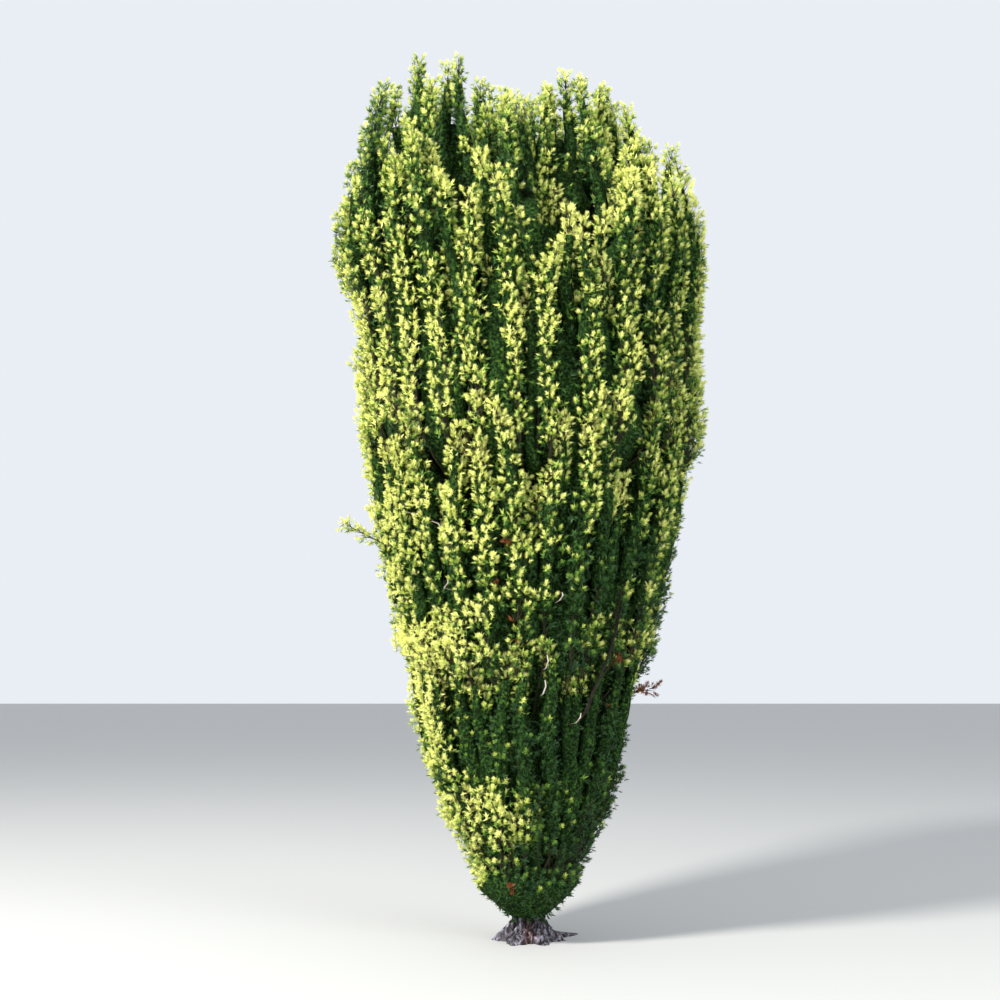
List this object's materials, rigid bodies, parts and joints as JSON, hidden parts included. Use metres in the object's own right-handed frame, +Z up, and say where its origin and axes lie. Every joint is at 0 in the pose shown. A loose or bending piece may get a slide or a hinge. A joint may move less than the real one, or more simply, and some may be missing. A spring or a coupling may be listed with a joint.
{
  "type": "irish yew",
  "caption": "Golden-leaved upright conifer: short fluted trunk, steep hidden boughs and dense columns of foliage widening upwards to a ring of spires.",
  "frame": {"origin": "centre of the trunk's flat cut at ground level", "axes": "+Z up the trunk, +X to the right of the view in the picture, -Y towards the viewer"},
  "size_m": [2.7256, 2.7107, 6.29],
  "materials": {
    "trunk_bark": "fluted grey and red-brown bark, in thin flakes",
    "bough_bark": "dull red-brown bark",
    "outer_foliage": "golden green needles, yellow at the shoot tips",
    "inner_foliage": "green needles, golden at the top"
  },
  "bodies": {
    "root": {"centre_foliage_1": "inner_foliage", "centre_foliage_2": "inner_foliage", "centre_foliage_3": "inner_foliage", "flank_foliage_1": "outer_foliage", "flank_foliage_10": "outer_foliage", "flank_foliage_2": "outer_foliage", "flank_foliage_3": "outer_foliage", "flank_foliage_4": "outer_foliage", "flank_foliage_5": "outer_foliage", "flank_foliage_6": "outer_foliage", "flank_foliage_7": "outer_foliage", "flank_foliage_8": "outer_foliage", "flank_foliage_9": "outer_foliage", "inner_foliage_1": "inner_foliage", "inner_foliage_10": "inner_foliage", "inner_foliage_2": "inner_foliage", "inner_foliage_3": "inner_foliage", "inner_foliage_4": "inner_foliage", "inner_foliage_5": "inner_foliage", "inner_foliage_6": "inner_foliage", "inner_foliage_7": "inner_foliage", "inner_foliage_8": "inner_foliage", "inner_foliage_9": "inner_foliage", "leader_bough": "bough_bark", "main_bough_1": "bough_bark", "main_bough_2": "bough_bark", "main_bough_3": "bough_bark", "main_bough_4": "bough_bark", "main_bough_5": "bough_bark", "outer_foliage_1": "outer_foliage", "outer_foliage_10": "outer_foliage", "outer_foliage_11": "outer_foliage", "outer_foliage_12": "outer_foliage", "outer_foliage_13": "outer_foliage", "outer_foliage_14": "outer_foliage", "outer_foliage_15": "outer_foliage", "outer_foliage_2": "outer_foliage", "outer_foliage_3": "outer_foliage", "outer_foliage_4": "outer_foliage", "outer_foliage_5": "outer_foliage", "outer_foliage_6": "outer_foliage", "outer_foliage_7": "outer_foliage", "outer_foliage_8": "outer_foliage", "outer_foliage_9": "outer_foliage", "skirt_foliage_1": "outer_foliage", "skirt_foliage_2": "outer_foliage", "skirt_foliage_3": "outer_foliage", "skirt_foliage_4": "outer_foliage", "skirt_foliage_5": "outer_foliage", "skirt_foliage_6": "outer_foliage", "skirt_foliage_7": "outer_foliage", "trunk": "trunk_bark", "upper_bough_1": "bough_bark", "upper_bough_2": "bough_bark", "upper_bough_3": "bough_bark", "upper_bough_4": "bough_bark", "upper_bough_5": "bough_bark", "upper_leader_bough": "bough_bark"}
  },
  "joints": []
}
